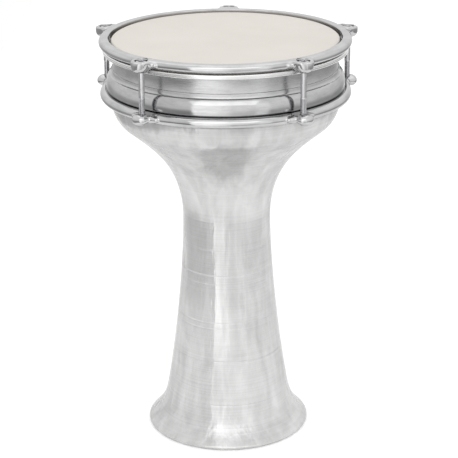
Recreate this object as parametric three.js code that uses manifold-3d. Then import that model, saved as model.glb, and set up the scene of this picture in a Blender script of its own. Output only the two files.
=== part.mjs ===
// Darbuka: a goblet drum with a tunable head, modelled as it comes apart on a bench.
// Millimetres, +Z up. The drum stands on the rim of its foot at Z = 0.
// The drum's own axis is vertical. It lies a little in front of the origin, because the
// odd number of lugs makes the drum reach further to the back than to the front, and the
// origin is the middle of the whole drum's footprint.

import * as THREE from 'three';
import { mergeVertices } from 'three/addons/utils/BufferGeometryUtils.js';
import Module from 'manifold-3d';

const wasm = await Module();
wasm.setup();

// ---------------------------------------------------------------- driving dimensions
const GAP = 0.3; // clearance between pieces that touch
const WELD_TOLERANCE = 1e-4; // points closer than this are one corner of a mesh
const FACETS = 40; // facets round the drum
const LUG_FACETS = 16; // facets round a lug, a screw or a washer

const LUG_COUNT = 5;
const SCREW_CIRCLE_R = 130; // the tension screws stand on this circle

// Goblet, one spun aluminium shell
const WALL = 2.2;
const FOOT_R = 84.6;
const FOOT_ROLL_R = 2.4; // rolled edge round the foot
const ANKLE = new THREE.Vector2(62.3, 50); // the foot's flare ends here
const WAIST = new THREE.Vector2(45.2, 230); // narrowest ring of the stem
const BOWL_EDGE = new THREE.Vector2(103.6, 330); // the bowl turns from flaring to upright
const SHOULDER_Z = 357.4; // flat shoulder that carries the lug ring
const SHOULDER_R = 116.4;
const NECK_R = 111.4; // the neck stands up inside the collar
const NECK_TOP_Z = 398;
const NECK_ROOT_Z = 342; // inside, the neck runs straight down to here

// Lug ring, clamped between the goblet's shoulder and the collar's bead
const LUG_RING_R = 126.5;
const LUG_RING_INNER_R = 113.6;
const LUG_RING_Z = SHOULDER_Z + GAP;
const LUG_RING_HEIGHT = 10.3;
const LUG_OUT = 4; // from the screw's axis out to the middle of its lug
const LUG_DEPTH = 12.4; // a lug's size out from the ring, along the ring and upright
const LUG_LENGTH = 18;
const LUG_HEIGHT = 11.4;
const LOBE_IN = 6; // from the screw circle in to the middle line of the lobes
const LOBE_DEPTH = 14;
const LUG_LOBE_LENGTH = 36; // the lobes that run a lug into its ring, end to end
const LUG_LOBE_HEIGHT = 9.6;

// Collar, with a rounded bead below and the head's bearing edge on top
const COLLAR_Z = LUG_RING_Z + LUG_RING_HEIGHT + GAP;
const COLLAR_BORE_R = NECK_R + GAP;
const COLLAR_FOOT_R = 117.6;
const COLLAR_FOOT_HEIGHT = 1.6;
const BEAD_FULL_R = 122.4; // handles of the bead's curve; the bead is fullest low down
const BEAD_HIGH_R = 120;
const BEAD_HIGH_Z = 379.2;
const BEAD_ROOT_R = 116.8; // the bead turns in to the wall here
const BEAD_TOP_Z = 384.2;
const WALL_R = 113.4;
const WALL_HOLLOW = 1; // how far the wall is waisted
const WALL_HOLLOW_TOP_Z = 406;
const STEP_Z = 389;
const STEP_REACH = 0.8;
const BEARING_EDGE_Z = 416.7;

// Head: a film stretched over the bearing edge and held all round by its flesh hoop
const FILM_THICKNESS = 0.6;
const FILM_R = WALL_R + GAP + FILM_THICKNESS;
const FILM_TOP_Z = BEARING_EDGE_Z + GAP + FILM_THICKNESS;
const FLESH_HOOP_R = 123;
const FLESH_HOOP_Z = 405;
const FLESH_HOOP_EDGE_R = 1.8;

// Tension hoop, pulled down on the flesh hoop by the screws
const HOOP_R = 126.5;
const HOOP_INNER_R = 116.8;
const HOOP_Z = 411;
const HOOP_TOP_Z = 419.6;
const EAR_REACH = 10.2;
const EAR_Z = 408.5;
const EAR_TOP_Z = 419.8;
const EAR_BULGE_R = 6; // rounding under an ear
const EAR_EDGE_R = 2; // rounding on top of an ear
const EAR_LOBE_LENGTH = 30;
const COUNTERBORE_R = 6.3;
const COUNTERBORE_Z = 412.2;

// Tension screws: M6 socket-head screws, as thick above the thread as across it
const SCREW_R = 3;
const SCREW_TIP_Z = 359;
const SCREW_CHAMFER = 0.6;
const HEAD_R = 5;
const HEAD_Z = 413.6;
const HEAD_TOP_Z = 419.1;
const SOCKET_ACROSS_FLATS = 5;
const SOCKET_DEPTH = 3;
const SCREW_HOLE_R = SCREW_R + 0.4;
const WASHER_R = 5.9;

const CUT_PAST = 1; // a cutter reaches this far past what it cuts

// ---------------------------------------------------------------- materials
const metal = (color, roughness) => new THREE.MeshStandardMaterial({ color, roughness, metalness: 1 });
const satinAluminium = () => metal(0xc9c9c7, 0.34);
const polishedPlate = () => metal(0xd6d7d9, 0.12);
const screwSteel = () => metal(0xc2c4c7, 0.22);
const rolledAluminium = () => metal(0xbdbdbb, 0.3);
const creamFilm = () => new THREE.MeshStandardMaterial({ color: 0xe0ddd5, roughness: 0.62, metalness: 0 });

// ---------------------------------------------------------------- helpers
// A closed outline of radius and height, turned round the vertical axis.
// The outline runs up its outside and down its inside.
function revolve(points, facets = FACETS) {
  return new THREE.LatheGeometry(points, facets).rotateX(Math.PI / 2);
}

function closed(path, divisions) {
  return path.closePath().getPoints(divisions);
}

function toSolid(geometry) {
  const bare = geometry.clone();
  bare.deleteAttribute('normal');
  bare.deleteAttribute('uv');
  const welded = mergeVertices(bare, WELD_TOLERANCE);
  const corners = welded.index.array;
  const triangles = [];
  for (let i = 0; i < corners.length; i += 3) {
    const [a, b, c] = corners.slice(i, i + 3);
    // A triangle that shrank to a line on the axis is left out.
    if (a !== b && b !== c && c !== a) triangles.push(a, b, c);
  }
  return new wasm.Manifold(new wasm.Mesh({
    numProp: 3,
    vertProperties: new Float32Array(welded.attributes.position.array),
    triVerts: new Uint32Array(triangles),
  }));
}

function toGeometry(solid) {
  const mesh = solid.getMesh();
  const geometry = new THREE.BufferGeometry();
  geometry.setAttribute('position', new THREE.BufferAttribute(mesh.vertProperties, 3));
  geometry.setIndex(new THREE.BufferAttribute(mesh.triVerts, 1));
  geometry.computeVertexNormals();
  return geometry;
}

function upright(radius, low, high, facets = LUG_FACETS) {
  const cylinder = new THREE.CylinderGeometry(radius, radius, high - low, facets);
  return cylinder.rotateX(Math.PI / 2).translate(0, 0, (low + high) / 2);
}

// The angle of lug k about the drum's axis; lug 0 is at the back.
const lugAngle = (k) => Math.PI / 2 + (k * 2 * Math.PI) / LUG_COUNT;

// A shape drawn on the Z axis, moved out to lug k with its +X pointing away from the drum.
function atLug(geometry, k) {
  return geometry.clone().translate(SCREW_CIRCLE_R, 0, 0).rotateZ(lugAngle(k));
}

// The points of a curve set back by a distance, to the left of its direction of travel.
function setBack(curves, divisions, distance) {
  const points = [];
  for (const curve of curves) {
    for (let i = 0; i < divisions; i += 1) {
      const t = i / divisions;
      const along = curve.getTangent(t);
      points.push(curve.getPoint(t).add(new THREE.Vector2(-along.y, along.x).multiplyScalar(distance)));
    }
  }
  return points;
}

// ---------------------------------------------------------------- goblet shell
// Foot, stem and bowl in three sweeps, then the shoulder and the neck.
function gobletShell() {
  const rollCentre = new THREE.Vector2(FOOT_R - FOOT_ROLL_R, FOOT_ROLL_R);
  const rollEnd = Math.PI / 4;
  const flareStart = new THREE.Vector2(Math.cos(rollEnd), Math.sin(rollEnd))
    .multiplyScalar(FOOT_ROLL_R).add(rollCentre);
  const point = (r, z) => new THREE.Vector2(r, z);
  const shoulder = point(SHOULDER_R, SHOULDER_Z);
  const sweeps = [
    new THREE.CubicBezierCurve(flareStart, point(70, 18), point(66, 25), ANKLE),
    new THREE.CubicBezierCurve(ANKLE, point(51, 117), point(WAIST.x, 191), WAIST),
    new THREE.CubicBezierCurve(WAIST, point(WAIST.x, 286), point(78.7, 309.6), BOWL_EDGE),
    new THREE.CubicBezierCurve(BOWL_EDGE, point(112.8, 337.5), point(115.3, 348.5), shoulder),
  ];
  const outside = new THREE.Path();
  outside.moveTo(rollCentre.x - WALL, 0);
  outside.lineTo(rollCentre.x, 0);
  outside.absarc(rollCentre.x, rollCentre.y, FOOT_ROLL_R, -Math.PI / 2, rollEnd, false);
  outside.curves.push(...sweeps);
  const inside = setBack(sweeps, 3, WALL).reverse();
  return revolve([
    ...outside.getPoints(4),
    point(NECK_R, SHOULDER_Z),
    point(NECK_R, NECK_TOP_Z),
    point(NECK_R - WALL, NECK_TOP_Z),
    point(NECK_R - WALL, NECK_ROOT_Z),
    ...inside,
    point(rollCentre.x - WALL, 0),
  ]);
}

// ---------------------------------------------------------------- lug ring
// A half-round ring with five lugs. Each lug is an egg-shaped boss with a plain bore for
// its screw, and a soft lobe on either side runs it into the ring.
function lugRing() {
  const roundR = LUG_RING_HEIGHT / 2;
  const middleZ = LUG_RING_Z + roundR;
  const section = new THREE.Path();
  section.moveTo(LUG_RING_INNER_R, LUG_RING_Z);
  section.lineTo(LUG_RING_R - roundR, LUG_RING_Z);
  section.absarc(LUG_RING_R - roundR, middleZ, roundR, -Math.PI / 2, Math.PI / 2, false);
  section.lineTo(LUG_RING_INNER_R, LUG_RING_Z + LUG_RING_HEIGHT);
  let ring = toSolid(revolve(closed(section, 3)));

  const lug = egg(LUG_DEPTH, LUG_LENGTH, LUG_HEIGHT, LUG_OUT, middleZ);
  const lobe = egg(LOBE_DEPTH, LUG_LOBE_LENGTH, LUG_LOBE_HEIGHT, -LOBE_IN, middleZ);
  const low = LUG_RING_Z - CUT_PAST;
  const high = LUG_RING_Z + LUG_RING_HEIGHT + CUT_PAST;
  const bore = upright(SCREW_HOLE_R, low, high);
  for (let k = 0; k < LUG_COUNT; k += 1) {
    ring = ring.add(toSolid(atLug(lug, k))).add(toSolid(atLug(lobe, k)));
    ring = ring.subtract(toSolid(atLug(bore, k)));
  }
  return toGeometry(ring.subtract(toSolid(upright(LUG_RING_INNER_R, low, high, FACETS))));
}

// A stretched ball, by its size out from the drum, along the ring and upright. Its middle
// is moved out from the screw circle, or in when that is negative.
function egg(depth, length, height, out, z) {
  const ball = new THREE.SphereGeometry(0.5, 12, 8);
  return ball.scale(depth, length, height).translate(out, 0, z);
}

// ---------------------------------------------------------------- collar
// Formed sheet: a foot that sits on the lug ring, a hollow bead, a small step and a
// slightly waisted wall that ends in the bearing edge.
function headCollar() {
  const beadLowZ = COLLAR_Z + COLLAR_FOOT_HEIGHT;
  const chamfer = 0.8;
  const outline = new THREE.Path();
  outline.moveTo(COLLAR_FOOT_R - WALL, COLLAR_Z);
  outline.lineTo(COLLAR_FOOT_R, COLLAR_Z);
  outline.lineTo(COLLAR_FOOT_R, beadLowZ);
  outline.bezierCurveTo(BEAD_FULL_R, beadLowZ, BEAD_HIGH_R, BEAD_HIGH_Z, BEAD_ROOT_R, BEAD_TOP_Z);
  outline.quadraticCurveTo(WALL_R + STEP_REACH, BEAD_TOP_Z, WALL_R + STEP_REACH, STEP_Z);
  outline.lineTo(WALL_R, STEP_Z + STEP_REACH);
  outline.quadraticCurveTo(WALL_R - 2 * WALL_HOLLOW, (STEP_Z + WALL_HOLLOW_TOP_Z) / 2, WALL_R, WALL_HOLLOW_TOP_Z);
  outline.lineTo(WALL_R, BEARING_EDGE_Z - chamfer);
  outline.lineTo(WALL_R - chamfer, BEARING_EDGE_Z);
  outline.lineTo(COLLAR_BORE_R, BEARING_EDGE_Z - chamfer / 2);
  // Inside, the bead is hollow.
  outline.lineTo(COLLAR_BORE_R, BEAD_TOP_Z - WALL);
  outline.lineTo(BEAD_ROOT_R, BEAD_TOP_Z - 2 * WALL);
  outline.lineTo(COLLAR_FOOT_R, beadLowZ + WALL);
  return revolve(closed(outline, 3));
}

// ---------------------------------------------------------------- drumhead
// The film where it is stretched flat: a disc that lies on the bearing edge, with its rim
// rounded where it turns down towards the flesh hoop.
function drumheadFilm() {
  const outline = new THREE.Path();
  outline.moveTo(0, FILM_TOP_Z - FILM_THICKNESS);
  outline.lineTo(FILM_R, FILM_TOP_Z - FILM_THICKNESS);
  outline.absarc(FILM_R - FILM_THICKNESS, FILM_TOP_Z - FILM_THICKNESS, FILM_THICKNESS, 0, Math.PI / 2, false);
  outline.lineTo(0, FILM_TOP_Z);
  return revolve(outline.getPoints(2));
}

// A rolled aluminium channel that grips the film's edge.
function fleshHoop() {
  const top = HOOP_Z - GAP;
  const edgeR = FLESH_HOOP_EDGE_R;
  const outline = new THREE.Path();
  outline.moveTo(FILM_R + GAP, FLESH_HOOP_Z);
  outline.lineTo(FLESH_HOOP_R - edgeR, FLESH_HOOP_Z);
  outline.absarc(FLESH_HOOP_R - edgeR, FLESH_HOOP_Z + edgeR, edgeR, -Math.PI / 2, 0, false);
  outline.absarc(FLESH_HOOP_R - edgeR, top - edgeR, edgeR, 0, Math.PI / 2, false);
  outline.lineTo(FILM_R + GAP, top);
  return revolve(closed(outline, 1));
}

// ---------------------------------------------------------------- tension hoop
// A ring with a rounded outside and five ears. Each ear is a bun-shaped boss, bored for
// its screw and counterbored for the screw's head.
function tensionHoop() {
  const roundR = (HOOP_TOP_Z - HOOP_Z) / 2;
  const chamfer = 0.8;
  const section = new THREE.Path();
  section.moveTo(HOOP_INNER_R, HOOP_Z);
  section.lineTo(HOOP_R - roundR, HOOP_Z);
  section.absarc(HOOP_R - roundR, HOOP_Z + roundR, roundR, -Math.PI / 2, Math.PI / 2, false);
  section.lineTo(HOOP_INNER_R + chamfer, HOOP_TOP_Z);
  section.lineTo(HOOP_INNER_R, HOOP_TOP_Z - chamfer);
  let hoop = toSolid(revolve(closed(section, 2)));

  const earOutline = new THREE.Path();
  earOutline.moveTo(0, EAR_Z);
  earOutline.lineTo(EAR_REACH - EAR_BULGE_R, EAR_Z);
  earOutline.absarc(EAR_REACH - EAR_BULGE_R, EAR_Z + EAR_BULGE_R, EAR_BULGE_R, -Math.PI / 2, 0, false);
  earOutline.absarc(EAR_REACH - EAR_EDGE_R, EAR_TOP_Z - EAR_EDGE_R, EAR_EDGE_R, 0, Math.PI / 2, false);
  earOutline.lineTo(0, EAR_TOP_Z);
  const ear = revolve(earOutline.getPoints(1), LUG_FACETS);
  const lobe = egg(LOBE_DEPTH, EAR_LOBE_LENGTH, 2 * roundR, -LOBE_IN, HOOP_Z + roundR);
  const bore = upright(SCREW_HOLE_R, EAR_Z - CUT_PAST, EAR_TOP_Z);
  const counterbore = upright(COUNTERBORE_R, COUNTERBORE_Z, EAR_TOP_Z + CUT_PAST);
  for (let k = 0; k < LUG_COUNT; k += 1) {
    hoop = hoop.add(toSolid(atLug(ear, k))).add(toSolid(atLug(lobe, k)));
    hoop = hoop.subtract(toSolid(atLug(bore, k))).subtract(toSolid(atLug(counterbore, k)));
  }
  // The ears hang below the hoop, so they are cut back round the flesh hoop.
  const fleshHoopRoom = upright(FLESH_HOOP_R + 1, EAR_Z - CUT_PAST, HOOP_Z, FACETS);
  const insideHoop = upright(HOOP_INNER_R, EAR_Z - CUT_PAST, EAR_TOP_Z + CUT_PAST, FACETS);
  return toGeometry(hoop.subtract(toSolid(fleshHoopRoom)).subtract(toSolid(insideHoop)));
}

// ---------------------------------------------------------------- tension screws
// One solid on the Z axis: a rod as thick as the thread's outer diameter, and a
// cylindrical head with a hexagon socket.
function tensionScrew() {
  const outline = new THREE.Path();
  outline.moveTo(0, SCREW_TIP_Z);
  outline.lineTo(SCREW_R - SCREW_CHAMFER, SCREW_TIP_Z);
  outline.lineTo(SCREW_R, SCREW_TIP_Z + SCREW_CHAMFER);
  outline.lineTo(SCREW_R, HEAD_Z);
  outline.lineTo(HEAD_R, HEAD_Z);
  outline.lineTo(HEAD_R, HEAD_TOP_Z - SCREW_CHAMFER);
  outline.lineTo(HEAD_R - SCREW_CHAMFER, HEAD_TOP_Z);
  outline.lineTo(0, HEAD_TOP_Z);
  const socketR = SOCKET_ACROSS_FLATS / Math.sqrt(3);
  const socket = upright(socketR, HEAD_TOP_Z - SOCKET_DEPTH, HEAD_TOP_Z + CUT_PAST, 6);
  return toGeometry(toSolid(revolve(outline.getPoints(), LUG_FACETS)).subtract(toSolid(socket)));
}

// A flat washer between the counterbore's floor and the screw's head.
function screwWasher() {
  const outline = new THREE.Path();
  outline.moveTo(SCREW_HOLE_R, COUNTERBORE_Z + GAP);
  outline.lineTo(WASHER_R, COUNTERBORE_Z + GAP);
  outline.lineTo(WASHER_R, HEAD_Z - GAP);
  outline.lineTo(SCREW_HOLE_R, HEAD_Z - GAP);
  return revolve(closed(outline), LUG_FACETS);
}

// ---------------------------------------------------------------- assembly
function piece(name, geometry, material) {
  const mesh = new THREE.Mesh(geometry, material);
  mesh.name = name;
  return mesh;
}

const shell = new THREE.Group();
shell.add(
  piece('goblet_shell', gobletShell(), satinAluminium()),
  piece('lower_lug_ring', lugRing(), polishedPlate()),
  piece('head_collar', headCollar(), polishedPlate()),
  piece('drumhead_film', drumheadFilm(), creamFilm()),
);

const hoopGroup = new THREE.Group();
hoopGroup.add(
  piece('tension_hoop', tensionHoop(), polishedPlate()),
  piece('flesh_hoop', fleshHoop(), rolledAluminium()),
);

for (let k = 0; k < LUG_COUNT; k += 1) {
  const station = new THREE.Group();
  const angle = lugAngle(k);
  station.position.set(SCREW_CIRCLE_R * Math.cos(angle), SCREW_CIRCLE_R * Math.sin(angle), 0);
  station.rotation.z = angle;
  station.add(
    piece(`tension_screw_${k + 1}`, tensionScrew(), screwSteel()),
    piece(`screw_washer_${k + 1}`, screwWasher(), screwSteel()),
  );
  hoopGroup.add(station);
}

// The back ear reaches past the hoop, so the drum's axis is set forward by half of that.
const drum = new THREE.Group();
drum.position.y = -(SCREW_CIRCLE_R + EAR_REACH - HOOP_R) / 2;
drum.add(shell, hoopGroup);

export default drum;
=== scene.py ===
# The darbuka's looks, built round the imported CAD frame. Outlines are drawn in millimetres
# as (radius, height) about the drum's axis, and meshes are made in metres.
import math

import bmesh
import bpy
import numpy as np
from mathutils import Matrix, Vector


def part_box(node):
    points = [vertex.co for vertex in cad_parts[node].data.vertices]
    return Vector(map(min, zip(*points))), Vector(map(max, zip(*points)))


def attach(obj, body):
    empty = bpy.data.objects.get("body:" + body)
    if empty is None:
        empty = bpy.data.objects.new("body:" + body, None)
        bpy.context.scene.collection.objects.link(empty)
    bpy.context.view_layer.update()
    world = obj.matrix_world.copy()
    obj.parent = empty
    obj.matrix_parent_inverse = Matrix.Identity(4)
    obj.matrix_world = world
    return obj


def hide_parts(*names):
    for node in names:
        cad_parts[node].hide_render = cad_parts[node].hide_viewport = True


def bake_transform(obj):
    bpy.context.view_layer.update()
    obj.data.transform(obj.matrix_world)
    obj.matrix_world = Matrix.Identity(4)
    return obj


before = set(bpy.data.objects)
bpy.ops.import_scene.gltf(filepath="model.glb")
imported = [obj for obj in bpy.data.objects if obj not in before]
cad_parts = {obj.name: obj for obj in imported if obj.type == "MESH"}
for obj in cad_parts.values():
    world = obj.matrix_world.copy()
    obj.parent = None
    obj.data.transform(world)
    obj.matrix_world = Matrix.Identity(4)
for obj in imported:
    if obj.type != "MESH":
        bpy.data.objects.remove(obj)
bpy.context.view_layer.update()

MM = 0.001


# ------------------------------------------------------------------ sizes from the frame
def box_mm(node):
    """Lowest and highest corner of a CAD node, in millimetres."""
    low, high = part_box(node)
    return low / MM, high / MM


def middle(node):
    """The middle of a CAD node's box, in millimetres."""
    low, high = box_mm(node)
    return (low + high) / 2


AXIS = middle("goblet_shell")  # the drum's own axis runs through this point
LUG_COUNT = len([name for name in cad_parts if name.startswith("tension_screw_")])
SCREWS = [f"tension_screw_{k + 1}" for k in range(LUG_COUNT)]
SCREW_CIRCLE_R = math.hypot(*(middle(SCREWS[0]) - AXIS).xy)

GOBLET_LOW, GOBLET_HIGH = box_mm("goblet_shell")
SHOULDER_R = (GOBLET_HIGH - GOBLET_LOW).x / 2
LUG_RING_LOW, LUG_RING_HIGH = box_mm("lower_lug_ring")
COLLAR_LOW, COLLAR_HIGH = box_mm("head_collar")
FILM_LOW, FILM_HIGH = box_mm("drumhead_film")
FILM_R = (FILM_HIGH - FILM_LOW).x / 2
FLESH_LOW, FLESH_HIGH = box_mm("flesh_hoop")
FLESH_R = (FLESH_HIGH - FLESH_LOW).x / 2
HOOP_LOW, HOOP_HIGH = box_mm("tension_hoop")
SCREW_LOW, SCREW_HIGH = box_mm(SCREWS[0])
HEAD_R = (SCREW_HIGH - SCREW_LOW).x / 2
WASHER_LOW, WASHER_HIGH = box_mm("screw_washer_1")
WASHER_R = (WASHER_HIGH - WASHER_LOW).x / 2

GAP = 0.3  # clear space between pieces, as in the CAD
CUT_PAST = 3  # a cutter reaches this far past the piece it cuts

# The tension hoop and the lug ring
RING_R = AXIS.y - HOOP_LOW.y  # no ear stands at the very front
RING_CORNER_R = 0.8  # their corners on the inside
HOOP_INNER_R = 116.8
HOOP_Z = FLESH_HIGH.z + GAP
HOOP_TOP = HOOP_HIGH.z - 0.2  # the ears stand a little above the hoop
LUG_RING_INNER_R = 113.6
LUG_RING_HALF = 5.15  # half the lug ring's height
LUG_RING_MIDDLE = (LUG_RING_LOW.z + LUG_RING_HIGH.z) / 2
LUG_RING_Z = LUG_RING_MIDDLE - LUG_RING_HALF
EAR_REACH = HOOP_HIGH.y - AXIS.y - SCREW_CIRCLE_R
BORE_R = 3.4
COUNTERBORE_R = 6.3
COUNTERBORE_Z = WASHER_LOW.z - GAP

AROUND = 288  # steps round the drum on spun pieces
WELD_MM = 0.002  # corners closer than this are one after a cut
REPEAT_MM = 1e-4  # points of an outline closer than this are one
ON_AXIS_MM = 1e-6  # a point nearer the axis than this is on it
SHARP_ANGLE = 35  # edges sharper than this many degrees stay crisp
CUT_SHARP_ANGLE = 32  # the same on a piece that has been cut


# ------------------------------------------------------------------ outlines
def arc(centre, radius, start, end, steps=8):
    """Points on an arc, with angles in degrees from outwards towards up."""
    angles = np.radians(np.linspace(start, end, steps + 1))
    return np.stack([centre[0] + radius * np.cos(angles), centre[1] + radius * np.sin(angles)], 1)


def bezier(start, lead, trail, end, steps=16):
    """Points on a curve that leaves start towards lead and reaches end from trail."""
    t = np.linspace(0, 1, steps + 1)[:, None]
    corners = [np.array(p, float) for p in (start, lead, trail, end)]
    weights = [(1 - t) ** 3, 3 * t * (1 - t) ** 2, 3 * t ** 2 * (1 - t), t ** 3]
    return sum(w * c for w, c in zip(weights, corners))


def outline(*parts):
    """One run of points from single points and point arrays, without repeats."""
    points = np.concatenate([np.atleast_2d(np.array(part, float)) for part in parts])
    keep = np.ones(len(points), bool)
    keep[1:] = np.hypot(*(points[1:] - points[:-1]).T) > REPEAT_MM
    return points[keep]


def set_back(points, distance):
    """A run of points moved to the left of its direction of travel."""
    along = np.gradient(points, axis=0)
    along /= np.hypot(*along.T)[:, None]
    return points + distance * np.stack([-along[:, 1], along[:, 0]], 1)


# ------------------------------------------------------------------ meshes
def new_piece(name, verts_mm, faces, sharp_angle=SHARP_ANGLE):
    """A smooth-shaded object whose corners are given in millimetres."""
    mesh = bpy.data.meshes.new(name)
    mesh.from_pydata((np.asarray(verts_mm) * MM).tolist(), [], faces)
    mesh.validate()
    mesh.shade_smooth()
    mesh.set_sharp_from_angle(angle=math.radians(sharp_angle))
    obj = bpy.data.objects.new(name, mesh)
    bpy.context.scene.collection.objects.link(obj)
    return obj


def grid_faces(rows, columns, wrap_rows):
    """Quads over rows x columns points, always closed round the columns."""
    faces = []
    last = rows if wrap_rows else rows - 1
    for i in range(last):
        low, high = i * columns, ((i + 1) % rows) * columns
        for j in range(columns):
            k = (j + 1) % columns
            faces.append((low + j, low + k, high + k, high + j))
    return faces


def cap_faces(rows, columns):
    """Triangles that close a grid's first and last row on the two points that follow the grid."""
    first, last = rows * columns, rows * columns + 1
    top = (rows - 1) * columns
    faces = []
    for j in range(columns):
        k = (j + 1) % columns
        faces.append((first, k, j))
        faces.append((last, top + j, top + k))
    return faces


def spun(name, profile, steps=AROUND, centre=None):
    """A profile turned about a vertical axis. It closes on itself, or starts and ends on the axis."""
    centre = AXIS if centre is None else centre
    profile = np.asarray(profile, float)
    on_axis = profile[0, 0] < ON_AXIS_MM and profile[-1, 0] < ON_AXIS_MM
    rings = profile[1:-1] if on_axis else profile
    angles = np.linspace(0, 2 * np.pi, steps, endpoint=False)
    x = centre.x + rings[:, :1] * np.cos(angles)
    y = centre.y + rings[:, :1] * np.sin(angles)
    z = np.repeat(rings[:, 1:], steps, axis=1)
    verts = np.stack([x, y, z], -1).reshape(-1, 3)
    faces = grid_faces(len(rings), steps, wrap_rows=not on_axis)
    if on_axis:
        poles = [[centre.x, centre.y, profile[i, 1]] for i in (0, -1)]
        verts = np.concatenate([verts, poles])
        faces += cap_faces(len(rings), steps)
    return new_piece(name, verts, faces)


def mount(obj, node, body, material):
    """The piece stands for a CAD node, takes a material, and rides on a body if one is given."""
    obj.data.materials.append(material)
    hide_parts(node)
    if body:
        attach(obj, body)
    return obj


def drop_flaps(mesh):
    """Triangles that lie back to back on the same corners, as cutting can leave, are taken out."""
    shape = bmesh.new()
    shape.from_mesh(mesh)
    bmesh.ops.triangulate(shape, faces=shape.faces)
    bmesh.ops.remove_doubles(shape, verts=shape.verts, dist=WELD_MM * MM)
    bmesh.ops.dissolve_degenerate(shape, edges=shape.edges, dist=WELD_MM * MM)
    bmesh.ops.triangulate(shape, faces=shape.faces)
    on_corners = {}
    for face in shape.faces:
        on_corners.setdefault(frozenset(face.verts), []).append(face)
    flaps = [face for faces in on_corners.values() if len(faces) > 1 for face in faces]
    bmesh.ops.delete(shape, geom=flaps, context="FACES")
    shape.to_mesh(mesh)
    shape.free()


def cut(obj, *cutters):
    """Subtracts cutters from a piece, and removes them."""
    for i, cutter in enumerate(cutters):
        modifier = obj.modifiers.new(f"cut_{i}", "BOOLEAN")
        modifier.operation = "DIFFERENCE"
        modifier.solver = "EXACT"
        modifier.object = cutter
    evaluated = obj.evaluated_get(bpy.context.evaluated_depsgraph_get())
    mesh = bpy.data.meshes.new_from_object(evaluated)
    drop_flaps(mesh)
    mesh.shade_smooth()
    mesh.set_sharp_from_angle(angle=math.radians(CUT_SHARP_ANGLE))
    obj.modifiers.clear()
    obj.data = mesh
    for cutter in cutters:
        bpy.data.objects.remove(cutter)


def join_as_one(name, objects):
    """One object from several that don't overlap."""
    with bpy.context.temp_override(active_object=objects[0], selected_editable_objects=objects):
        bpy.ops.object.join()
    objects[0].name = name
    return objects[0]


# ------------------------------------------------------------------ material helpers
def color_ramp(tree, source, stops):
    """A colour that changes with source, over stops of (place from 0 to 1, colour)."""
    node = tree.nodes.new("ShaderNodeValToRGB")
    elements = node.color_ramp.elements
    while len(elements) < len(stops):
        elements.new(0.5)
    for element, (place, color) in zip(elements, stops):
        element.position = place
        element.color = (*color, 1)
    tree.links.new(source, node.inputs["Fac"])
    return node.outputs["Color"]


class Nodes:
    """A material with a Principled shader, and short calls to add nodes to it."""

    def __init__(self, name, color, metallic, roughness):
        self.material = bpy.data.materials.new(name)
        self.material.use_nodes = True
        self.tree = self.material.node_tree
        self.shader = self.tree.nodes["Principled BSDF"]
        self.set("Base Color", (*color, 1))
        self.set("Metallic", metallic)
        self.set("Roughness", roughness)
        self.material.diffuse_color = (*color, 1)

    def set(self, socket, value):
        self.shader.inputs[socket].default_value = value

    def add(self, kind, **settings):
        node = self.tree.nodes.new(f"ShaderNode{kind}")
        for name, value in settings.items():
            setattr(node, name, value)
        return node

    def link(self, source, target):
        self.tree.links.new(source, target)

    def to_shader(self, source, socket):
        self.link(source, self.shader.inputs[socket])

    def noise(self, scale, detail=2.0, roughness=0.5, distortion=0.0):
        """Noise in object space, with a scale for each axis in repeats a metre."""
        coordinates = self.add("TexCoord")
        mapping = self.add("Mapping")
        mapping.inputs["Scale"].default_value = scale
        self.link(coordinates.outputs["Object"], mapping.inputs["Vector"])
        noise = self.add("TexNoise")
        noise.inputs["Scale"].default_value = 1
        noise.inputs["Detail"].default_value = detail
        noise.inputs["Roughness"].default_value = roughness
        noise.inputs["Distortion"].default_value = distortion
        self.link(mapping.outputs["Vector"], noise.inputs["Vector"])
        return noise.outputs["Fac"]

    def spread(self, source, low, high, from_low=0.3, from_high=0.7):
        """A value moved into the range low to high."""
        node = self.add("MapRange")
        for socket, value in zip(("From Min", "From Max", "To Min", "To Max"),
                                 (from_low, from_high, low, high)):
            node.inputs[socket].default_value = value
        self.link(source, node.inputs["Value"])
        return node.outputs["Result"]

    def ramp(self, source, *stops):
        return color_ramp(self.tree, source, stops)

    def mix(self, first, second, share):
        """Two values in one, with share of it from the second."""
        node = self.add("Mix", data_type="FLOAT")
        node.inputs["Factor"].default_value = share
        self.link(first, node.inputs["A"])
        self.link(second, node.inputs["B"])
        return node.outputs["Result"]

    def bumped(self, height, depth_mm, under=None):
        """A normal bent by a height, laid over another bent normal if there is one."""
        node = self.add("Bump")
        node.inputs["Distance"].default_value = depth_mm * MM
        self.link(height, node.inputs["Height"])
        if under is not None:
            self.link(under, node.inputs["Normal"])
        return node.outputs["Normal"]

    def bump(self, height, depth_mm):
        self.to_shader(self.bumped(height, depth_mm), "Normal")


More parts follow.
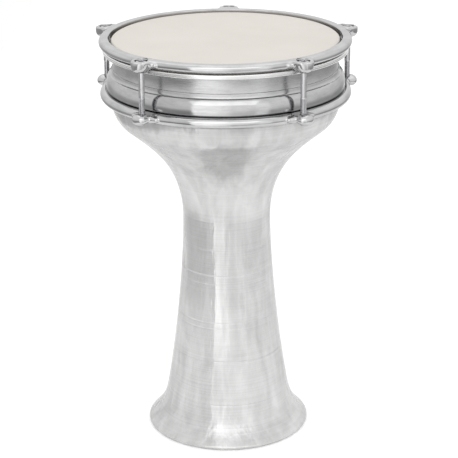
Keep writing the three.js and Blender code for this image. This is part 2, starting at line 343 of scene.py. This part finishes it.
def satin_aluminium():
    """Spun aluminium, polished by hand: fine rings round the axis, upright streaks where the surface is
    not quite even, and blotches.
    The streaks and blotches bend the surface, and as painted reflection they also darken and lighten
    its colour."""
    n = Nodes("satin_aluminium", (0.58, 0.58, 0.575), 0.6, 0.2)
    rings = n.noise((4, 4, 900), detail=4, roughness=0.7)
    streaks = n.noise((75, 75, 7), detail=3, roughness=0.55, distortion=0.3)
    blotches_and_painted_reflection = n.noise((22, 22, 14), detail=4, roughness=0.6, distortion=0.8)
    tone = n.mix(n.mix(rings, streaks, 0.6), blotches_and_painted_reflection, 0.4)
    dark, even, light = (0.48, 0.48, 0.477), (0.57, 0.57, 0.567), (0.65, 0.65, 0.647)
    # Base colour: the fine rings are the metal's own tone; the upright streaks and the larger blotches
    # mixed into it are painted reflection, standing in for the streaky room seen in the metal.
    n.to_shader(n.ramp(tone, (0.4, dark), (0.5, even), (0.6, light)), "Base Color")
    n.to_shader(n.spread(tone, 0.25, 0.15, 0.4, 0.6), "Roughness")
    n.set("Specular Tint", (0.7, 0.7, 0.7, 1))
    n.set("Specular IOR Level", 0.15)
    n.set("Anisotropic", 0.6)
    n.set("Anisotropic Rotation", 0.25)
    tangent = n.add("Tangent", direction_type="RADIAL", axis="Z")
    n.to_shader(tangent.outputs["Tangent"], "Tangent")
    waves = n.bumped(n.mix(streaks, blotches_and_painted_reflection, 0.4), 1.8)
    n.to_shader(n.bumped(rings, 0.008, waves), "Normal")
    return n.material


def plating(name, smooth, rough, grey):
    """Bright plating, from smooth to rough, with a slight waviness and faint wipe marks."""
    n = Nodes(name, (grey, grey, grey), 1.0, smooth)
    wipes = n.noise((40, 40, 160), detail=3, roughness=0.6)
    n.to_shader(n.spread(wipes, smooth, rough), "Roughness")
    dull, bright = ((tone, tone, tone * 1.01) for tone in (grey * 0.9, grey * 1.1))
    n.to_shader(n.ramp(wipes, (0.3, dull), (0.6, bright)), "Base Color")
    n.set("Specular Tint", (0.75, 0.75, 0.75, 1))
    n.bump(n.noise((70, 70, 70), detail=1), 0.03)
    return n


def polished_plate():
    """The bright plating of the tension hoop and the lug ring."""
    return plating("polished_plate", 0.06, 0.15, 0.49).material


def brushed_plate():
    """The collar: its bead is polished, and its wall above keeps brushing marks round the axis."""
    n = plating("brushed_plate", 0.06, 0.15, 0.45)
    height = n.add("SeparateXYZ")
    n.link(n.add("TexCoord").outputs["Object"], height.inputs["Vector"])
    brushing = n.noise((6, 6, 700), detail=3, roughness=0.6)
    bead_end, wall_start = 0.383, 0.389  # heights in metres
    above = n.spread(height.outputs["Z"], 0.0, 0.3, bead_end, wall_start)
    marks = n.add("Math", operation="MULTIPLY_ADD")
    n.link(above, marks.inputs[0])
    n.link(brushing, marks.inputs[1])
    marks.inputs[2].default_value = 0.1  # the bead's own roughness
    n.to_shader(marks.outputs["Value"], "Roughness")
    return n.material


def rolled_aluminium():
    """Bare rolled metal, with fine lines round the axis."""
    n = Nodes("rolled_aluminium", (0.76, 0.76, 0.755), 1.0, 0.26)
    rings = n.noise((8, 8, 1400), detail=3, roughness=0.6)
    n.to_shader(n.spread(rings, 0.2, 0.34), "Roughness")
    n.to_shader(n.ramp(rings, (0.35, (0.68, 0.68, 0.675)), (0.65, (0.80, 0.80, 0.795))), "Base Color")
    n.bump(rings, 0.015)
    return n.material


def screw_steel():
    """Plated steel, a little lighter than the hoop, with a short upright grain."""
    n = Nodes("screw_steel", (0.57, 0.57, 0.58), 1.0, 0.2)
    grain = n.noise((400, 400, 120), detail=3, roughness=0.6)
    n.to_shader(n.spread(grain, 0.16, 0.28), "Roughness")
    n.to_shader(n.ramp(grain, (0.35, (0.52, 0.52, 0.53)), (0.65, (0.62, 0.62, 0.63))), "Base Color")
    n.set("Specular Tint", (0.7, 0.7, 0.7, 1))
    n.bump(grain, 0.01)
    return n.material


def drumhead_coating():
    """Cream-white coated film: a fine sprayed grain over slow cloudy changes of tone."""
    n = Nodes("drumhead_coating", (0.575, 0.543, 0.497), 0.0, 0.6)
    clouds = n.noise((18, 18, 18), detail=3, roughness=0.55)
    grain = n.noise((1600, 1600, 1600), detail=2)
    n.to_shader(n.ramp(clouds, (0.3, (0.56, 0.528, 0.482)), (0.7, (0.59, 0.558, 0.512))), "Base Color")
    n.to_shader(n.spread(grain, 0.52, 0.68), "Roughness")
    n.bump(grain, 0.012)
    return n.material


SATIN = satin_aluminium()
PLATE = polished_plate()
BRUSHED = brushed_plate()
ROLLED = rolled_aluminium()
STEEL = screw_steel()
COATING = drumhead_coating()


# ------------------------------------------------------------------ goblet
WALL = 2.2
FOOT_R = 84.6
FOOT_ROLL_R = 2.4
NECK_FOOT_Z = 342  # the neck's inside starts here, above the bowl's
MARK_REACH, MARK_POINTS = 2.4, 13  # points across a turned line, out to this many half widths
SPINNING_MARKS = (  # height of each turned line, its depth and half width
    (41, 0.16, 0.5), (87.4, 0.2, 0.5), (128.3, 0.16, 0.5), (178.6, 0.18, 0.5),
    (169, 0.07, 0.6), (122, 0.08, 0.6), (62, 0.06, 0.8), (205, 0.06, 0.8), (236, 0.06, 0.9),
)


def goblet_sweeps():
    """The outside from the rolled foot up to the shoulder, as drawn in the CAD."""
    roll = np.array([FOOT_R - FOOT_ROLL_R, FOOT_ROLL_R])
    start = roll + FOOT_ROLL_R * math.sqrt(0.5)
    ankle, waist, bowl_edge = (62.3, 50), (45.2, 230), (103.6, 330)
    shoulder = (SHOULDER_R, LUG_RING_Z - GAP)
    return [
        bezier(start, (70, 18), (66, 25), ankle, 40),
        bezier(ankle, (51, 117), (45.2, 191), waist, 160),
        bezier(waist, (45.2, 286), (78.7, 309.6), bowl_edge, 90),
        bezier(bowl_edge, (112.8, 337.5), (115.3, 348.5), shoulder, 30),
    ]


def with_marks(points):
    """Turned lines pressed into the outside, on a run of points dense enough to hold them."""
    mark_steps = np.linspace(-MARK_REACH, MARK_REACH, MARK_POINTS)
    extra = [z + half * s for z, _, half in SPINNING_MARKS for s in mark_steps]
    order = np.argsort(points[:, 1])
    heights = np.unique(np.concatenate([points[:, 1], extra]))
    radii = np.interp(heights, points[order, 1], points[order, 0])
    for z, depth, half in SPINNING_MARKS:
        radii = radii - depth * np.exp(-((heights - z) / half) ** 2)
    return np.stack([radii, heights], 1)


def make_goblet():
    """The shell: foot, stem, bowl, shoulder and neck, in one wall."""
    roll = (FOOT_R - FOOT_ROLL_R, FOOT_ROLL_R)
    neck_r, neck_top = LUG_RING_INNER_R - WALL, GOBLET_HIGH.z
    sweeps = np.concatenate(goblet_sweeps())
    inside = set_back(outline(sweeps)[::4], WALL)[::-1]
    profile = outline(
        (roll[0] - WALL, 0),
        arc(roll, FOOT_ROLL_R, -90, 45),
        with_marks(outline(sweeps)),
        (neck_r, LUG_RING_Z - GAP), (neck_r, neck_top),
        (neck_r - WALL, neck_top), (neck_r - WALL, NECK_FOOT_Z),
        inside,
    )
    return mount(spun("goblet", profile), "goblet_shell", "shell", SATIN)


# ------------------------------------------------------------------ collar
def make_collar():
    """The rounded bead, a step, the slightly waisted wall and the head's bearing edge."""
    low, high = COLLAR_LOW.z, COLLAR_HIGH.z
    foot_r, foot_height = 116.4, 0.2
    turn_middle_r, turn = 118.4, 1.7
    bead_top_r, bead_top = 116.8, 384.2
    wall_r, step, bore = 113.4, 389, 111.7
    profile = outline(
        (foot_r - WALL, low),
        (foot_r, low),
        (foot_r, low + foot_height),
        arc((turn_middle_r, low + foot_height + turn), turn, -90, 0, 8),
        bezier((turn_middle_r + turn, low + 0.3 + turn), (120.5, low + 6), (119.8, bead_top - 4),
               (bead_top_r, bead_top), 26),
        bezier((bead_top_r, bead_top), (wall_r + 1.6, bead_top + 0.5), (wall_r + 1, bead_top + 1.2),
               (wall_r + 0.8, step), 10),
        arc((wall_r + 0.5, step), 0.3, 0, 90, 3),
        bezier((wall_r, step + 0.5), (wall_r - 0.9, step + 6), (wall_r - 0.8, step + 12),
               (wall_r, step + 17), 16),
        (wall_r, high - 1),
        arc((wall_r - 1, high - 1), 1, 0, 90, 5),
        (bore, high - 0.4), (bore, bead_top - WALL),
        bezier((115.4, bead_top - WALL - 1.4), (117.2, bead_top - 7), (117.4, low + 8),
               (foot_r - WALL + 0.8, low + 4), 8),
    )
    return mount(spun("collar", profile), "head_collar", "shell", BRUSHED)


# ------------------------------------------------------------------ rings with lugs
FINE_DEGREES = 12  # the ring's steps are close together this far each side of a screw
FINE_STEPS, COARSE_STEPS = 130, 70
SECTION_STEPS = 64
HEART_R = 122.5  # a point inside both rings, from which their sections are found
MARCH_STEPS, MARCH_SHARE = 90, 0.85  # each step goes this share of the distance left

# Half sizes of an egg-shaped lug, outwards, along the ring and upwards
LUG_HALVES = (6.2, 8.6, 5.7)
LUG_OUT = 4  # its middle is this far outside the screw's axis
# The lobes beside a lug: half length, thickness and flatness
LOBE_SHAPE = (13.5, 5.0, 1.1)
LOBE_IN = 4.2  # their middle is this far inside it
# The webs beside an ear, in the same way
WEB_SHAPE = (13, 4.4, 1.15)
WEB_IN, WEB_UP = 4.6, 0.4


def smooth_union(a, b, reach):
    """The distance to either of two shapes, with a fillet of about reach where they meet."""
    share = np.clip(0.5 + 0.5 * (b - a) / reach, 0, 1)
    return b * (1 - share) + a * share - reach * share * (1 - share)


def rounded_box(x, y, half_x, half_y, radius):
    """Distance to a rounded rectangle; radius may differ from point to point."""
    qx, qy = np.abs(x) - half_x + radius, np.abs(y) - half_y + radius
    outside = np.hypot(np.maximum(qx, 0), np.maximum(qy, 0))
    return outside + np.minimum(np.maximum(qx, qy), 0) - radius


def capsule(x, y, z, half_length, thick, flat):
    """Distance to a rod lying along y at x = z = 0 and tapering towards its ends."""
    along = np.clip(y, -half_length, half_length)
    taper = thick * (1 - 0.45 * (along / half_length) ** 2)
    return np.sqrt(x ** 2 + (y - along) ** 2 + (z * flat) ** 2) - taper


def lug_steps():
    """Angles round the drum, close together at the lugs."""
    sector = 2 * np.pi / LUG_COUNT
    near = math.radians(FINE_DEGREES)
    fine = np.linspace(-near, near, FINE_STEPS, endpoint=False)
    coarse = np.linspace(near, sector - near, COARSE_STEPS, endpoint=False)
    one = np.concatenate([fine, coarse])
    return np.concatenate([math.pi / 2 + k * sector + one for k in range(LUG_COUNT)])


def lugged_ring(name, distance, heart_z):
    """A ring whose section is where a distance field, seen from a point inside it, reaches zero.
    distance takes the radius, the height, and x and y measured at the nearest screw's axis."""
    angles = lug_steps()
    sector = 2 * np.pi / LUG_COUNT
    folded = (angles - math.pi / 2 + sector / 2) % sector - sector / 2
    rays = np.linspace(0, 2 * np.pi, SECTION_STEPS, endpoint=False)
    out, up = np.cos(rays)[:, None], np.sin(rays)[:, None]
    reach = np.zeros((SECTION_STEPS, len(angles)))
    for _ in range(MARCH_STEPS):
        r, z = HEART_R + reach * out, heart_z + reach * up
        x, y = r * np.cos(folded) - SCREW_CIRCLE_R, r * np.sin(folded)
        reach = reach - MARCH_SHARE * distance(r, z, x, y)
    r, z = HEART_R + reach * out, heart_z + reach * up
    verts = np.stack([AXIS.x + r * np.cos(angles), AXIS.y + r * np.sin(angles), z], -1)
    faces = grid_faces(SECTION_STEPS, len(angles), wrap_rows=True)
    return new_piece(name, verts.reshape(-1, 3), faces)


def egg(x, y, z, half_x, half_y, half_z):
    """Distance to a stretched ball, near enough close to its surface."""
    near = np.sqrt((x / half_x) ** 2 + (y / half_y) ** 2 + (z / half_z) ** 2) + 1e-6
    slope = np.sqrt((x / half_x ** 2) ** 2 + (y / half_y ** 2) ** 2 + (z / half_z ** 2) ** 2) + 1e-6
    return near * (near - 1) / slope


def lug_distance(r, z, x, y):
    """The half-round lug ring, its egg-shaped lugs and the lobes beside them."""
    lobe_fillet, lug_fillet = 1.5, 3.0
    up = z - LUG_RING_MIDDLE
    half_r = (RING_R - LUG_RING_INNER_R) / 2
    from_middle = r - LUG_RING_INNER_R - half_r
    corner = np.where(from_middle > 0, LUG_RING_HALF, RING_CORNER_R)
    ring = rounded_box(from_middle, up, half_r, LUG_RING_HALF, corner)
    lug = egg(x - LUG_OUT, y, up, *LUG_HALVES)
    lobes = capsule(x + LOBE_IN, y, up, *LOBE_SHAPE)
    return smooth_union(smooth_union(ring, lobes, lobe_fillet), lug, lug_fillet)


def ear_distance(r, z, x, y):
    """The tension hoop, its ears and the webs beside them."""
    web_fillet, ear_fillet = 1.8, 3.6
    hoop_round, ear_top_round, ear_foot_round = 3.6, 2.2, 5.5
    low = HOOP_Z + 0.7  # the seam over the flesh hoop is wider than the CAD's gap
    half = (HOOP_TOP - low) / 2
    half_r = (RING_R - HOOP_INNER_R) / 2
    from_middle = r - HOOP_INNER_R - half_r
    corner = np.where(from_middle > 0, hoop_round, RING_CORNER_R)
    ring = rounded_box(from_middle, z - low - half, half_r, half, corner)
    half_ear = (HOOP_HIGH.z - HOOP_LOW.z) / 2
    from_ear = z - HOOP_LOW.z - half_ear
    narrow = 1.12 - 0.03 * from_ear  # an ear is narrower along the hoop, most of all low down
    ear_round = np.where(from_ear > 0, ear_top_round, ear_foot_round)
    ear = rounded_box(np.hypot(x, y * narrow), from_ear, EAR_REACH, half_ear, ear_round)
    webs = capsule(x + WEB_IN, y, z - low - half - WEB_UP, *WEB_SHAPE)
    return smooth_union(smooth_union(ring, webs, web_fillet), ear, ear_fillet)


def station(k):
    """The point on the drum's floor plane under screw k + 1."""
    centre = middle(SCREWS[k])
    return Vector((centre.x, centre.y, 0))


def make_lug_ring():
    """The lower ring with its five bored lugs."""
    ring = lugged_ring("lug_ring", lug_distance, LUG_RING_MIDDLE)
    low, top = LUG_RING_LOW.z - CUT_PAST, LUG_RING_HIGH.z + CUT_PAST
    bore = outline((0, low), (BORE_R, low), (BORE_R, top), (0, top))
    bores = [spun(f"bore_{k}", bore, 48, station(k)) for k in range(LUG_COUNT)]
    cut(ring, join_as_one("bores", bores))
    return mount(ring, "lower_lug_ring", "shell", PLATE)


def make_tension_hoop():
    """The upper ring: its ears are bored and counterbored, and it has room below for the flesh hoop."""
    hoop = lugged_ring("hoop", ear_distance, HOOP_Z + 4.2)
    low, top = HOOP_LOW.z - CUT_PAST, HOOP_HIGH.z
    lip = 0.5  # the rounding of the counterbore's rim
    drill = outline(
        (0, low), (BORE_R, low), (BORE_R, COUNTERBORE_Z), (COUNTERBORE_R, COUNTERBORE_Z),
        arc((COUNTERBORE_R + lip, top - lip), lip, 180, 90, 4),
        (COUNTERBORE_R + lip + 0.2, top + 0.2),
        (COUNTERBORE_R + lip, top + CUT_PAST), (0, top + CUT_PAST),
    )
    drills = [spun(f"drill_{k}", drill, 64, station(k)) for k in range(LUG_COUNT)]
    room_inner_r, room_r, room_top = RING_R - 20, FLESH_R + 1.2, HOOP_Z - 0.05
    room = outline((room_r, low), (room_r, room_top), (room_inner_r, room_top), (room_inner_r, low))
    cut(hoop, join_as_one("drills", drills), spun("room", room, AROUND))
    return mount(hoop, "tension_hoop", "hoop", PLATE)


# ------------------------------------------------------------------ head
def make_film():
    """The film, with a soft bend over the bearing edge and a skirt down into the flesh hoop."""
    top, thick, bend = FILM_HIGH.z, 0.5, 2.0
    skirt = FLESH_LOW.z + 0.6
    face = [(r, top) for r in np.linspace(FILM_R - bend - 1.5, 0, 24)]
    under = [(r, top - thick) for r in np.linspace(0, FILM_R - thick - bend, 12)]
    profile = outline(
        under,
        arc((FILM_R - bend, top - bend), bend - thick, 90, 0, 6),
        [(FILM_R - thick, z) for z in np.linspace(top - bend, skirt, 14)],
        [(FILM_R, z) for z in np.linspace(skirt, top - bend, 14)],
        arc((FILM_R - bend, top - bend), bend, 0, 90, 10),
        face,
    )
    film = spun("film", profile)
    mount(film, "drumhead_film", None, COATING)
    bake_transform(film)
    return film


def make_flesh_hoop():
    """A solid ring in place of a rolled channel, with rounded outer edges and a crimp line."""
    seam = 0.6  # the dark line under the tension hoop
    low, high, inner = FLESH_LOW.z, FLESH_HIGH.z - seam, FILM_R + GAP
    edge, crimp = 1.5, 0.3
    crimp_z = (low + high) / 2
    profile = outline(
        (inner, low + 0.4), (inner + 0.4, low),
        arc((FLESH_R - edge, low + edge), edge, -90, 0),
        arc((FLESH_R + crimp / 2, crimp_z), crimp, 240, 120, 4),
        arc((FLESH_R - edge, high - edge), edge, 0, 90),
        (inner + 0.4, high), (inner, high - 0.4),
    )
    return mount(spun("flesh_ring", profile), "flesh_hoop", "hoop", ROLLED)


# ------------------------------------------------------------------ screws
PITCH = 1.0
THREAD_TOP = 384
ROD_R, THREAD_ROOT_R = 3.0, 2.42
SCREW_SIDES = 48
SOCKET_HALF, SOCKET_DEPTH = 2.5, 3.0  # half the hexagon across its flats
SOCKET_RIM_R = 2.75


def screw_rings():
    """Rows of (radius, height) round one screw, from its tip to the socket's floor, and the heights
    of the two points on its axis that close it."""
    turn = np.linspace(0, 2 * np.pi, SCREW_SIDES, endpoint=False)
    tip, head_low, head_top = SCREW_LOW.z, WASHER_HIGH.z + GAP, SCREW_HIGH.z
    ones = np.ones(SCREW_SIDES)
    rows = []
    for z in np.arange(tip, THREAD_TOP + 0.01, PITCH / 10):
        phase = (z / PITCH - turn / (2 * np.pi)) % 1
        crest = 1 - np.abs(2 * phase - 1)
        thread = THREAD_ROOT_R + (ROD_R - THREAD_ROOT_R) * np.clip(crest * 1.35 - 0.12, 0, 1)
        # The thread fades into the plain rod at its top and into a chamfer at its tip.
        fade = np.clip((THREAD_TOP - z) / (1.5 * PITCH), 0, 1)
        radius = ROD_R + (thread - ROD_R) * fade
        chamfer = THREAD_ROOT_R - 0.3 + (z - tip)
        rows.append((np.minimum(radius, chamfer), z * ones))
    for z in (386, 395, 404, head_low - 0.4):
        rows.append((ROD_R * ones, z * ones))
    rows.append(((ROD_R + 0.4) * ones, head_low * ones))
    edge, low_edge = 0.5, 0.2
    for r, z in arc((HEAD_R - low_edge, head_low + low_edge), low_edge, -90, 0, 2):
        rows.append((r * ones, z * ones))
    for r, z in arc((HEAD_R - edge, head_top - edge), edge, 0, 90, 4):
        rows.append((r * ones, z * ones))
    hexagon = SOCKET_HALF / np.cos((turn + np.pi / 6) % (np.pi / 3) - np.pi / 6)
    rows.append((np.maximum(hexagon, SOCKET_RIM_R), head_top * ones))
    rows.append((hexagon, (head_top - 0.25) * ones))
    rows.append((hexagon, (head_top - SOCKET_DEPTH) * ones))
    return rows, tip, head_top - SOCKET_DEPTH - 0.8


def make_screw(k):
    """One socket-head screw. Each stops at its own angle when it is tight."""
    rows, tip, socket_floor = screw_rings()
    turn = np.linspace(0, 2 * np.pi, SCREW_SIDES, endpoint=False)
    centre = station(k)
    set_at = 0.37 + 1.9 * k
    verts = []
    for r, z in rows:
        x, y = centre.x + r * np.cos(turn + set_at), centre.y + r * np.sin(turn + set_at)
        verts.append(np.stack([x, y, z], -1))
    verts.append([[centre.x, centre.y, tip], [centre.x, centre.y, socket_floor]])
    faces = grid_faces(len(rows), SCREW_SIDES, wrap_rows=False) + cap_faces(len(rows), SCREW_SIDES)
    obj = new_piece(f"screw_{k + 1}_m6", np.concatenate(verts), faces, sharp_angle=30)
    return mount(obj, f"tension_screw_{k + 1}", f"screw_{k + 1}", STEEL)


def make_washer(k):
    """A flat washer with rounded outer edges, in its counterbore."""
    low, high = WASHER_LOW.z, WASHER_HIGH.z
    edge = 0.2
    profile = outline((BORE_R, low), (WASHER_R - edge, low), (WASHER_R, low + edge),
                      arc((WASHER_R - edge, high - edge), edge, 0, 90, 3), (BORE_R, high))
    obj = spun(f"washer_{k + 1}", profile, 48, station(k))
    return mount(obj, f"screw_washer_{k + 1}", "hoop", STEEL)


# ------------------------------------------------------------------ studio
def make_floor():
    """A plain pale floor, in metres. Where it stops in front and on the left is seen in the metal."""
    front, back, left, right = -0.5, 4.0, -0.5, 0.7
    corners = [(left, front, 0), (right, front, 0), (right, back, 0), (left, back, 0)]
    mesh = bpy.data.meshes.new("floor")
    mesh.from_pydata(corners, [], [(0, 1, 2, 3)])
    floor = bpy.data.objects.new("floor", mesh)
    bpy.context.scene.collection.objects.link(floor)
    paint = Nodes("pale_floor", (0.86, 0.86, 0.86), 0.0, 0.9)
    paint.set("Emission Color", (1, 1, 1, 1))
    paint.set("Emission Strength", 0.15)
    mesh.materials.append(paint.material)


def make_softbox(name, azimuth, height, distance, width, tall, radiance):
    """A rectangular area light facing the drum's middle. Azimuth 0 is in front, 90 to the right."""
    light = bpy.data.lights.new(name, "AREA")
    light.shape = "RECTANGLE"
    light.size, light.size_y = width, tall
    light.energy = radiance * math.pi * width * tall
    obj = bpy.data.objects.new(name, light)
    bpy.context.scene.collection.objects.link(obj)
    a = math.radians(azimuth)
    place = Vector((distance * math.sin(a), -distance * math.cos(a), height))
    target = Vector((0, 0, 0.22))
    facing = (place - target).to_track_quat("Z", "Y").to_matrix().to_4x4()
    obj.matrix_world = Matrix.Translation(place) @ facing


# How bright the room is round the drum: degrees from the front, positive to the right. The bright
# and dark stretches were found by trial, by comparing how bright the metal comes out.
ROOM_ROUND = (
    (-180, 1.0), (-160, 0.95), (-145, 0.65), (-80, 0.52), (-66, 0.45), (-31, 0.45), (-29, 1.9),
    (-12, 1.8), (2, 1.4), (9, 1.05), (17, 1.05), (28, 1.0), (33, 1.3), (41, 1.2),
    (45, 0.68), (60, 0.68), (80, 0.55), (145, 0.6), (160, 0.95), (180, 1.0),
)
# The same from the floor up: degrees above the horizon.
ROOM_UP = ((-90, 0.64), (-40, 0.7), (-15, 0.9), (-5, 1.15), (20, 1.28), (60, 1.16), (90, 0.95))
# How much of the change round the room is left at each height.
ROOM_EVEN = ((-90, 0.6), (-20, 1.0), (-13, 1.0), (-4, 0.5), (20, 0.34), (48, 0.28), (90, 0.2))


def grey_ramp(tree, place, stops, full_turn):
    """A grey that changes with the angle, over stops of (degrees, value). place goes from 0 to 1
    over full_turn degrees, with 0 degrees in its middle."""
    greys = [(0.5 + degrees / full_turn, (value,) * 3) for degrees, value in stops]
    return color_ramp(tree, place, greys)


def make_world():
    """A pale room with soft bright and dark stretches for the metal to reflect. The camera sees it
    plain."""
    world = bpy.data.worlds.new("room")
    world.use_nodes = True
    bpy.context.scene.world = world
    tree = world.node_tree
    link = tree.links.new

    def math_node(operation, first, second=None):
        node = tree.nodes.new("ShaderNodeMath")
        node.operation = operation
        for socket, value in zip(node.inputs, (first, second)):
            if isinstance(value, (int, float)):
                socket.default_value = value
            elif value is not None:
                link(value, socket)
        return node.outputs["Value"]

    direction = tree.nodes.new("ShaderNodeSeparateXYZ")
    link(tree.nodes.new("ShaderNodeTexCoord").outputs["Generated"], direction.inputs["Vector"])
    x, y, z = (direction.outputs[axis] for axis in "XYZ")
    round_angle = math_node("ARCTAN2", x, math_node("MULTIPLY", y, -1))
    up_angle = math_node("ARCSINE", z)
    round_place = math_node("MULTIPLY_ADD", round_angle, 1 / (2 * math.pi))
    round_place.node.inputs[2].default_value = 0.5
    up_place = math_node("MULTIPLY_ADD", up_angle, 1 / math.pi)
    up_place.node.inputs[2].default_value = 0.5
    round_grey = grey_ramp(tree, round_place, ROOM_ROUND, 360)
    up_grey = grey_ramp(tree, up_place, ROOM_UP, 180)
    even_grey = grey_ramp(tree, up_place, ROOM_EVEN, 180)
    change = math_node("MULTIPLY", math_node("SUBTRACT", round_grey, 1.0), even_grey)
    room = math_node("MULTIPLY", math_node("ADD", change, 1.0), up_grey)
    seen = tree.nodes.new("ShaderNodeLightPath").outputs["Is Camera Ray"]
    plain = tree.nodes.new("ShaderNodeMix")
    plain.data_type = "FLOAT"
    plain.inputs["B"].default_value = 1.0
    link(seen, plain.inputs["Factor"])
    link(room, plain.inputs["A"])
    link(plain.outputs["Result"], tree.nodes["Background"].inputs["Color"])


def make_camera():
    """The camera stands a little to the right of the front and looks down on the head."""
    azimuth, pitch, pan, roll = (math.radians(a) for a in (1.73, 19.89, 0.08, -0.41))
    distance, height = 1.6279, 0.8026
    camera = bpy.data.cameras.new("camera")
    camera.sensor_width = 36
    camera.lens = 130.9
    obj = bpy.data.objects.new("camera", camera)
    bpy.context.scene.collection.objects.link(obj)
    level = math.cos(pitch)
    forward = Vector((math.sin(pan) * level, math.cos(pan) * level, -math.sin(pitch)))
    right = forward.cross(Vector((0, 0, 1))).normalized()
    up = right.cross(forward)
    rolled_right = math.cos(roll) * right + math.sin(roll) * up
    rolled_up = math.cos(roll) * up - math.sin(roll) * right
    turn = Matrix.Rotation(azimuth, 3, "Z")
    pose = Matrix([turn @ rolled_right, turn @ rolled_up, -(turn @ forward)]).transposed().to_4x4()
    place = turn @ Vector((0, -distance, height)) + Vector((AXIS.x * MM, AXIS.y * MM, 0))
    obj.matrix_world = Matrix.Translation(place) @ pose
    bpy.context.scene.camera = obj


make_camera()
make_goblet()
make_collar()
make_lug_ring()
make_tension_hoop()
make_film()
make_flesh_hoop()
for k in range(LUG_COUNT):
    make_screw(k)
    make_washer(k)
make_floor()
make_softbox("top", 180, 2.4, 0.4, 2.4, 2.4, 0.4)
make_softbox("front", 0, 1.7, 2.0, 2.6, 1.1, 0.62)
make_world()
bpy.context.scene.view_settings.view_transform = "Standard"
